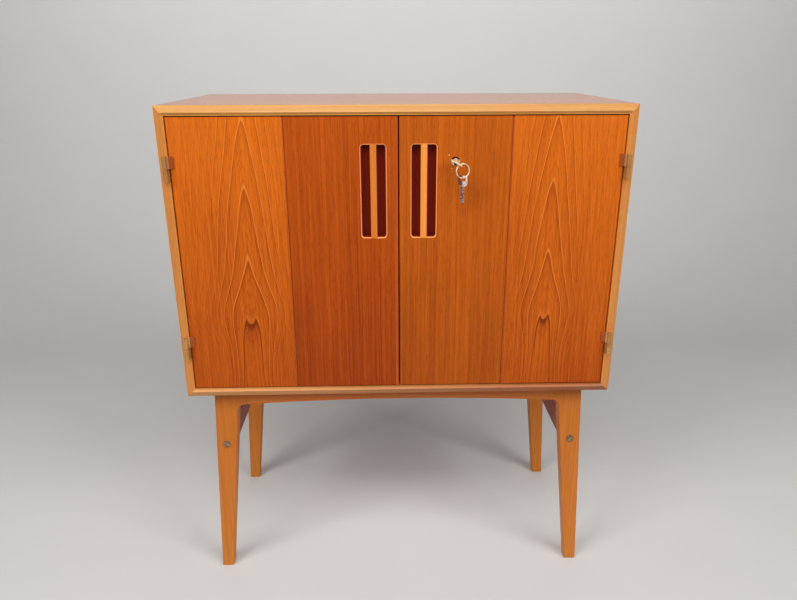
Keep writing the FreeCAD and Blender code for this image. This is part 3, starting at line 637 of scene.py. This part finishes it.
slot_tints(finishes["left_inner_veneer"], -slot_middle_x)
slot_tints(finishes["right_inner_veneer"], slot_middle_x)
lock_low, lock_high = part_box("lock_housing")
lock_middle = (lock_low + lock_high) / 2
chips(
    finishes["right_inner_veneer"],
    [
        (lock_middle.x - 0.0100, lock_middle.z + 0.0095, 0.0016),
        (lock_middle.x - 0.0055, lock_middle.z - 0.0115, 0.0012),
        (lock_middle.x - 0.0052, lock_middle.z - 0.0165, 0.0009),
    ],
)
for side in ("left", "right"):
    softened(side + "_inner_leaf", leaf_round, longer_than(0.1))
    for leaf in ("outer", "inner"):
        low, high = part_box(f"{side}_{leaf}_leaf")
        pale_edges_and_joint_light(finishes[f"{side}_{leaf}_veneer"], low.x, high.x)
strip_low, strip_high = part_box("left_meeting_strip")
pale_edges_and_joint_light(finishes["strip_wood"], strip_low.x, strip_high.x)

# %% [markdown]
# ## Beads in the fold joints
# The joints between the leaves of a pair look narrower in the photograph than the room that the
# leaves need. A thin bead on the edge of the outer leaf fills most of each joint, a little behind
# the face. The pair folds with its backs together, so the joint opens away from the bead.

# %% Joint beads
bead_width, bead_depth, bead_set_back = 0.0015, 0.0030, 0.0007
bead_sunk, bead_end, bead_round = 0.0003, 0.001, 0.0003


def round_bead():
    """Rounds the long edges of a bead."""
    bpy.ops.mesh.select_all(action="SELECT")
    bpy.ops.mesh.bevel(offset=bead_round, segments=2, affect="EDGES")


for side, sign in (("left", -1), ("right", 1)):
    low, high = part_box(f"{side}_outer_leaf")
    edge_x = high.x if sign < 0 else low.x
    deselect()
    bpy.ops.mesh.primitive_cube_add(size=1.0)
    bead = bpy.context.object
    bead.name = f"{side}_joint_bead"
    middle = Vector((edge_x - sign * (bead_width / 2 - bead_sunk),
                     door_y + bead_set_back + bead_depth / 2, (low.z + high.z) / 2))
    stretch = Matrix.Diagonal((bead_width + 2 * bead_sunk, bead_depth,
                               high.z - low.z - 2 * bead_end, 1.0))
    bead.data.transform(Matrix.Translation(middle) @ stretch)
    edit(bead, round_bead)
    smooth(bead)
    finish_piece(bead, nodes[f"{side}_outer_leaf"]["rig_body"], slots[f"{side}_outer_leaf"],
                 "strip_wood")
print("joint beads:", bead_width * 1000, "mm wide")

# %% [markdown]
# ## Hinges and bolts
# The knuckles, plates and bolt heads are already right in shape. Their copies are merged so that
# the round parts shade smoothly, and the rims get a tiny bevel that catches the light.

# %% Hinge flanges, the face of the lock and the spare key
flange_from, flange_to = 0.3450, 0.3590
keyhole_shadow_right, keyhole_shadow_down = 0.0002, 0.0036
keyhole_shadow_rim = (0.0022, 0.0028)
shadow_arc_radius, shadow_arc_level = (0.0042, 0.0050), (0.0016, 0.0030)
lock_front = (0.0006, 0.0010)
blade_top = 0.026


def flange_reflection(finish):
    """Painted reflection of the red-brown teak on the flanges on the leaves; the rolls stay brass.
    """
    x, y, z = finish.spot
    away = abs(x)
    begins = finish.ramp(away, flange_from, flange_from + 0.0005)
    ends = finish.ramp(away, flange_to - 0.0006, flange_to)
    flange = begins * (1.0 - ends)
    # Painted reflection: the flange takes the red-brown of the teak beside it.
    finish.tint(flange, paint(158, 68, 16))
    finish.feed(finish.surface.inputs["Metallic"], 0.7 - flange * 0.6)


def lock_face_shadows(finish):
    """A black keyhole with the key's painted shadow, and a painted shadow arc over the plug."""
    x, y, z = finish.spot
    off_x, off_z = x - lock_middle.x, z - lock_middle.z
    hole_x, hole_z = off_x - keyhole_shadow_right, (off_z + keyhole_shadow_down) * 0.8
    # The black spot is the keyhole, darkened further by the key's painted shadow.
    keyhole_shadow = 1.0 - finish.ramp((hole_x * hole_x + hole_z * hole_z) ** 0.5, *keyhole_shadow_rim)
    radius = (off_x * off_x + off_z * off_z) ** 0.5
    # Painted shadow: a dark arc where the upper rim shades the sunk face of the lock.
    shadow_arc = finish.ramp(radius, *shadow_arc_radius) * finish.ramp(off_z, *shadow_arc_level)
    front = 1.0 - finish.ramp(y - door_y, *lock_front)
    finish.tint(shadow_arc * front, paint(40, 20, 12))
    finish.tint(keyhole_shadow * front, paint(8, 6, 6))


def shaded_bow_half(finish):
    """Painted shade on one half of the spare key's bow, and darker patches on the blade."""
    x, y, z = finish.spot
    low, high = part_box("spare_key")
    ragged_x = finish.noise(x * 500.0, y * 500.0, z * 260.0, 3.0) * 0.004 + x
    middle_x = (low.x + high.x) / 2 + 0.0020
    # Painted shade: the left half of the bow is darkened, the right half stays bright.
    half = 1.0 - finish.ramp(ragged_x, middle_x - 0.0016, middle_x + 0.0006)
    blade = 1.0 - finish.ramp(z, low.z + blade_top, low.z + blade_top + 0.003)
    patch = finish.ramp(finish.noise(x * 300.0, y * 300.0, z * 520.0, 2.0), 0.36, 0.56)
    dark = (half * (1.0 - blade) * 0.92).most(blade * (patch * 0.55 + 0.40))
    finish.tint(dark, paint(74, 54, 44))


flange_reflection(finishes["hinge_brass"])
shaded_bow_half(finishes["spare_key_nickel"])
lock_face_shadows(finishes["lock_nickel"])

# %% Metal pieces
metal_round, fold_hinge_round = 0.0002, 0.00015
metal_angle = 50.0

for level_name in ("lower", "upper"):
    for side in ("left", "right"):
        for half in ("frame", "door"):
            softened(f"{level_name}_{side}_hinge_{half}_half", metal_round, sharp=metal_angle)
for node in ("hinge_pins", "left_fold_pins", "right_fold_pins", "cross_bolts"):
    softened(node, metal_round, sharp=metal_angle)
for side in ("left", "right"):
    for half in ("outer", "inner"):
        softened(f"{side}_fold_hinge_{half}_halves", fold_hinge_round, sharp=metal_angle)
for node in ("lock_housing", "lock_plug", "lock_case", "rod_guides", "upper_bolt_guide",
             "lower_bolt_guide", "upper_slide_bolt", "lower_slide_bolt", "strike_plates"):
    softened(node, metal_round, sharp=metal_angle)

# %% [markdown]
# ## Small screws
# Every plate is held by slotted wood screws with sunk heads. One head is modelled: a short cylinder
# with a softened rim, and a slot cut through it by a boolean. It is then copied to each place, where
# it stands a sixth of a millimetre proud, and the copies on one body are joined.

# %% One screw head
head_proud = 0.00016
head_depth = 0.0008

deselect()
bpy.ops.mesh.primitive_cylinder_add(vertices=28, radius=1.0, depth=1.0, location=(0, 0, -0.5))
screw_head = bpy.context.object
screw_head.name = "screw_head"


def round_rim():
    """Softens the upper rim of the head."""
    select_edges(screw_head, lambda start, end: start.z > -0.1 and end.z > -0.1, 60.0)
    bpy.ops.mesh.bevel(offset=0.08, segments=2, affect="EDGES")


edit(screw_head, round_rim)
deselect()
bpy.ops.mesh.primitive_cube_add(size=1.0, location=(0, 0, 0))
slot_cutter = bpy.context.object
slot_cutter.scale = (0.26, 3.0, 0.9)
cut = screw_head.modifiers.new("slot", "BOOLEAN")
cut.object, cut.operation, cut.solver = slot_cutter, "DIFFERENCE", "EXACT"
take(screw_head)
bpy.ops.object.modifier_apply(modifier=cut.name)
bpy.data.objects.remove(slot_cutter)
print("faces on a screw head:", len(screw_head.data.polygons))


# %% Copies of the screw head
def screws(name, body, places, slot="fitting_steel"):
    """Screw heads at (point, outward direction, radius), joined to one piece."""
    heads = []
    for number, (point, outward, radius) in enumerate(places):
        head = bpy.data.objects.new(name, screw_head.data.copy())
        bpy.context.scene.collection.objects.link(head)
        outward = Vector(outward)
        turn = outward.to_track_quat("Z", "Y").to_matrix().to_4x4()
        twist = Matrix.Rotation(math.radians(37.0 + 71.0 * number), 4, "Z")
        size = Matrix.Diagonal((radius, radius, head_depth, 1.0))
        seat = Matrix.Translation(Vector(point) + outward * head_proud)
        head.data.transform(seat @ turn @ twist @ size)
        heads.append(head)
    deselect()
    for head in heads:
        head.select_set(True)
    bpy.context.view_layer.objects.active = heads[0]
    bpy.ops.object.join()
    piece = bpy.context.object
    piece.name = name
    smooth(piece)
    finish_piece(piece, body, slot)
    return piece


def corner_places(middle, spans, outward, radius):
    """Four places round a middle point, a span away on two axes."""
    (first_axis, first), (second_axis, second) = spans
    places = []
    for first_sign in (-1, 1):
        for second_sign in (-1, 1):
            point = Vector(middle)
            point[first_axis] += first_sign * first
            point[second_axis] += second_sign * second
            places.append((point, outward, radius))
    return places


# %% Screws of the lock, the guides and the bolts
case_low, case_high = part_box("lock_case")
case_middle = (case_low + case_high) / 2
behind = Vector((0, 1, 0))
lock_body = nodes["lock_case"]["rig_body"]
case_screw, case_screw_right, case_screw_up = 0.0019, 0.0142, 0.0180
places = corner_places((case_middle.x, case_high.y, case_middle.z),
                       ((0, case_screw_right), (2, case_screw_up)), behind, case_screw)
guides_low, guides_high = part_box("rod_guides")
guide_half_width, guide_half_height = 0.0084, 0.0060
guide_screw, guide_screw_in = 0.0012, 0.0016
lower_guide = (guides_low.x + guide_half_width, guides_low.z + guide_half_height)
middle_guide = (lower_guide[0], (lower_guide[1] + case_middle.z) / 2)
upper_guide = (guides_high.x - guide_half_width, guides_high.z - guide_half_height)
for guide_x, guide_z in (lower_guide, middle_guide, upper_guide):
    for sign in (-1, 1):
        spot = (guide_x + sign * (guide_half_width - guide_screw_in), guides_high.y, guide_z)
        places.append((spot, behind, guide_screw))
screws("lock_screws", lock_body, places)

bolt_plate_thickness = 0.0015
bolt_screw, bolt_screw_right, bolt_screw_up = 0.0009, 0.0058, 0.0280
places = []
for level_name in ("upper", "lower"):
    low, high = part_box(level_name + "_bolt_guide")
    middle = ((low.x + high.x) / 2, low.y + bolt_plate_thickness, (low.z + high.z) / 2)
    places += corner_places(middle, ((0, bolt_screw_right), (2, bolt_screw_up)), behind,
                            bolt_screw)
screws("bolt_screws", nodes["upper_bolt_guide"]["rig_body"], places)

# %% Screws of the striking plates
strike_low, strike_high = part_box("strike_plates")
strike_half_length, strike_thickness, lower_rod_in = 0.017, 0.0015, 0.0268
rod_line, bolt_line = 0.0067, 0.0060
strike_screw, strike_screw_right = 0.0020, 0.0125
rod_y, bolt_y = strike_low.y + rod_line, strike_low.y + bolt_line
upper_rod_x, lower_rod_x = strike_high.x - strike_half_length, strike_high.x - lower_rod_in
bolt_x = strike_low.x + strike_half_length
places = []
for strike_x, strike_y, upper in ((upper_rod_x, rod_y, True), (bolt_x, bolt_y, True),
                                  (lower_rod_x, rod_y, False), (bolt_x, bolt_y, False)):
    face_z = strike_high.z - strike_thickness if upper else strike_low.z + strike_thickness
    for sign in (-1, 1):
        places.append(((strike_x + sign * strike_screw_right, strike_y, face_z),
                       (0, 0, -1 if upper else 1), strike_screw))
screws("strike_screws", nodes["strike_plates"]["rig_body"], places)

# %% Screws of the hinges
hinge_screw, hinge_screw_in, hinge_screw_shares = 0.0021, 0.0055, (0.27, 0.73)
fold_height, fold_screw, fold_screw_in, fold_screw_up = 0.050, 0.0020, 0.0050, 0.019

for side, sign in (("right", 1), ("left", -1)):
    frame_places, outer_places, inner_places = [], [], []
    for level_name in ("lower", "upper"):
        low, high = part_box(f"{level_name}_{side}_hinge_frame_half")
        face_x = low.x if sign > 0 else high.x
        for share in hinge_screw_shares:
            spot = (face_x, high.y - hinge_screw_in, low.z + (high.z - low.z) * share)
            frame_places.append((spot, (-sign, 0, 0), hinge_screw))
        low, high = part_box(f"{level_name}_{side}_hinge_door_half")
        leaf_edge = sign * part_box("right_outer_leaf")[1].x
        for share in hinge_screw_shares:
            spot = (leaf_edge, high.y - hinge_screw_in, low.z + (high.z - low.z) * share)
            outer_places.append((spot, (sign, 0, 0), hinge_screw))
    low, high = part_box(f"{side}_fold_hinge_outer_halves")
    outer_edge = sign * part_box("right_outer_leaf")[0].x
    inner_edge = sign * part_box("right_inner_leaf")[1].x
    for middle_z in (low.z + fold_height / 2, high.z - fold_height / 2):
        for offset in (-fold_screw_up, fold_screw_up):
            spot_y, spot_z = low.y + fold_screw_in, middle_z + offset
            outer_places.append(((outer_edge, spot_y, spot_z), (-sign, 0, 0), fold_screw))
            inner_places.append(((inner_edge, spot_y, spot_z), (sign, 0, 0), fold_screw))
    screws(side + "_frame_screws", nodes[f"lower_{side}_hinge_frame_half"]["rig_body"],
           frame_places, "hinge_brass")
    screws(side + "_outer_leaf_screws", nodes[f"{side}_outer_leaf"]["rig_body"],
           outer_places, "hinge_brass")
    screws(side + "_inner_leaf_screws", nodes[f"{side}_inner_leaf"]["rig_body"],
           inner_places, "hinge_brass")

# %% Screws of the back panel
back_low, back_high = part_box("back_panel")
back_middle = (back_low + back_high) / 2
back_screw, back_screw_in = 0.0026, 0.007
back_row_half, back_column = 0.340, 0.24
places = []
for share in (-1.0, -0.5, 0.0, 0.5, 1.0):
    for back_z in (back_low.z + back_screw_in, back_high.z - back_screw_in):
        spot = (back_middle.x + share * back_row_half, back_high.y, back_z)
        places.append((spot, behind, back_screw))
for back_x in (back_low.x + back_screw_in, back_high.x - back_screw_in):
    for share in (-0.5, 0.5):
        spot = (back_x, back_high.y, back_middle.z + share * back_column)
        places.append((spot, behind, back_screw))
screws("back_screws", nodes["back_panel"]["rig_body"], places)
bpy.data.objects.remove(screw_head)

# %% [markdown]
# ## Keys and ring
# A flat key is stamped from sheet, so its edges are slightly rounded all round. The ring is a
# split ring: wire wound round twice, which shows as two thin hoops side by side. Two thin tori are
# closer to that than one thick one, and they hang in the same place as the solid ring.

# %% Keys and split ring
key_round, key_angle = 0.0003, 40.0
for node in ("key", "spare_key"):
    softened(node, key_round, sharp=key_angle)

ring_low, ring_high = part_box("key_ring")
ring_middle = (ring_low + ring_high) / 2
ring_turn = math.radians(20.0)
wire_radius = 0.00068
wire_flatness = 0.55
wire_inset = 0.0009
hoop_radius = (ring_high.z - ring_low.z) / 2 - wire_inset
ring_axis = Vector((-math.sin(ring_turn), math.cos(ring_turn), 0))
hoops = []
for offset in (-1, 1):
    deselect()
    bpy.ops.mesh.primitive_torus_add(
        major_radius=hoop_radius,
        minor_radius=wire_radius,
        major_segments=72,
        minor_segments=10,
        location=ring_middle + ring_axis * (offset * wire_radius * wire_flatness),
        rotation=(math.radians(90), 0, ring_turn),
    )
    bpy.context.object.scale.z = wire_flatness
    hoops.append(bpy.context.object)
deselect()
for hoop in hoops:
    hoop.select_set(True)
bpy.context.view_layer.objects.active = hoops[0]
bpy.ops.object.join()
bpy.ops.object.transform_apply(location=True, rotation=True, scale=True)
split_ring = bpy.context.object
split_ring.name = "split_ring"
smooth(split_ring, 60.0)
finish_piece(split_ring, "ring", "ring_steel")
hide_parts("key_ring")
print("split ring:", round(2 * hoop_radius * 1000, 1), "mm across")

# %% [markdown]
# ## Plain pieces that stay
# The flat panels keep their CAD meshes: their edges meet other pieces, so a bevel would only open
# gaps. They are given the new wood.

# %% Materials on the remaining solids
upright_panels = ("left_side_panel", "right_side_panel")
for name, node in nodes.items():
    if not node.hide_render:
        finish = "teak_side" if name in upright_panels else slots[name]
        for material_slot in node.material_slots:
            material_slot.material = finishes[finish].material

# %% [markdown]
# ## The studio
# The cabinet stands on a wide roll of pale grey paper that curves up behind it. A grid is added,
# and its rows are laid along a line whose slope grows smoothly from level to upright. A bevelled
# corner would show as a band, because there the slope starts to change all at once.

# %% Paper sweep
sweep_width = 12.0
sweep_front = -5.0
sweep_rows = 220
row_length = 0.055
bend_from, bend_to = 5.4, 10.0

sweep_points = [Vector((0, sweep_front, 0))]
for row in range(sweep_rows):
    share = min(max((row * row_length - bend_from) / (bend_to - bend_from), 0.0), 1.0)
    rise = math.radians(90) * share * share * (3 - 2 * share)
    step = Vector((0, math.cos(rise), math.sin(rise))) * row_length
    sweep_points.append(sweep_points[-1] + step)

deselect()
bpy.ops.mesh.primitive_grid_add(x_subdivisions=2, y_subdivisions=sweep_rows, size=2.0)
sweep = bpy.context.object
sweep.name = "paper_sweep"
for vertex in sweep.data.vertices:
    point = sweep_points[round((vertex.co.y + 1.0) / 2.0 * sweep_rows)]
    vertex.co = Vector((vertex.co.x * sweep_width / 2, point.y, point.z))
smooth(sweep, 60.0)
paper = Finish("grey_paper", specular=0.2)
paper_x, paper_y, paper_z = paper.place()
mottle = paper.noise(paper_x * 3.0, paper_y * 3.0, paper_z * 3.0, 3.0)
paper.colour(paper.mix(mottle, paint(204, 203, 201), paint(208, 207, 205)))
paper.rough(0.9)
sweep.data.materials.append(paper.material)

# %% [markdown]
# ## Light
# Two large soft boxes stand in front, left and right, and a third hangs before the cabinet. Their
# shadows are broad and pale, as in the photograph. A fourth lights the paper behind, which the
# top of the cabinet mirrors at a flat angle. The world adds an even fill. To the camera, and in
# what the metal mirrors, the world is as pale as the paper, so that no view has a dark horizon.

# %% Lamps and world
def soft_box(name, position, aim, size, power, spread=180.0):
    """An area lamp, wide and high as size says, that looks at a point."""
    lamp = bpy.data.lights.new(name, "AREA")
    lamp.shape = "RECTANGLE"
    lamp.size, lamp.size_y = size
    lamp.energy = power
    lamp.spread = math.radians(spread)
    holder = bpy.data.objects.new(name, lamp)
    holder.location = position
    holder.rotation_euler = (Vector(aim) - Vector(position)).to_track_quat("-Z", "Y").to_euler()
    bpy.context.scene.collection.objects.link(holder)


doors_middle, carcase_foot, paper_middle = (0, -0.2, 0.45), (0, -0.2, 0.4), (0, 4.6, 2.7)
soft_box("left_soft_box", (-2.3, -2.3, 2.4), doors_middle, (1.6, 1.6), 25.5, 110.0)
soft_box("right_soft_box", (2.3, -2.3, 2.4), doors_middle, (1.6, 1.6), 23.0, 110.0)
soft_box("top_soft_box", (0, -1.9, 3.2), carcase_foot, (2.6, 1.2), 23.5, 110.0)
soft_box("back_soft_box", (0, 1.6, 3.3), paper_middle, (6.0, 0.8), 108.0)

world = bpy.data.worlds.new("studio")
bpy.context.scene.world = world
world.use_nodes = True
world_nodes, world_links = world.node_tree.nodes, world.node_tree.links
fill_light, seen_light = 0.11, 0.45
world_nodes["Background"].inputs["Color"].default_value = (1.0, 1.0, 1.0, 1.0)
rays = world_nodes.new("ShaderNodeLightPath")
seen = rays.outputs["Is Camera Ray"]
for kind in ("Is Glossy Ray", "Is Transmission Ray"):
    either = world_nodes.new("ShaderNodeMath")
    either.operation = "MAXIMUM"
    world_links.new(seen, either.inputs[0])
    world_links.new(rays.outputs[kind], either.inputs[1])
    seen = either.outputs[0]
strength = world_nodes.new("ShaderNodeMapRange")
strength.inputs["To Min"].default_value = fill_light
strength.inputs["To Max"].default_value = seen_light
world_links.new(seen, strength.inputs["Value"])
world_links.new(strength.outputs["Result"], world_nodes["Background"].inputs["Strength"])
bpy.context.scene.view_settings.view_transform = "Standard"
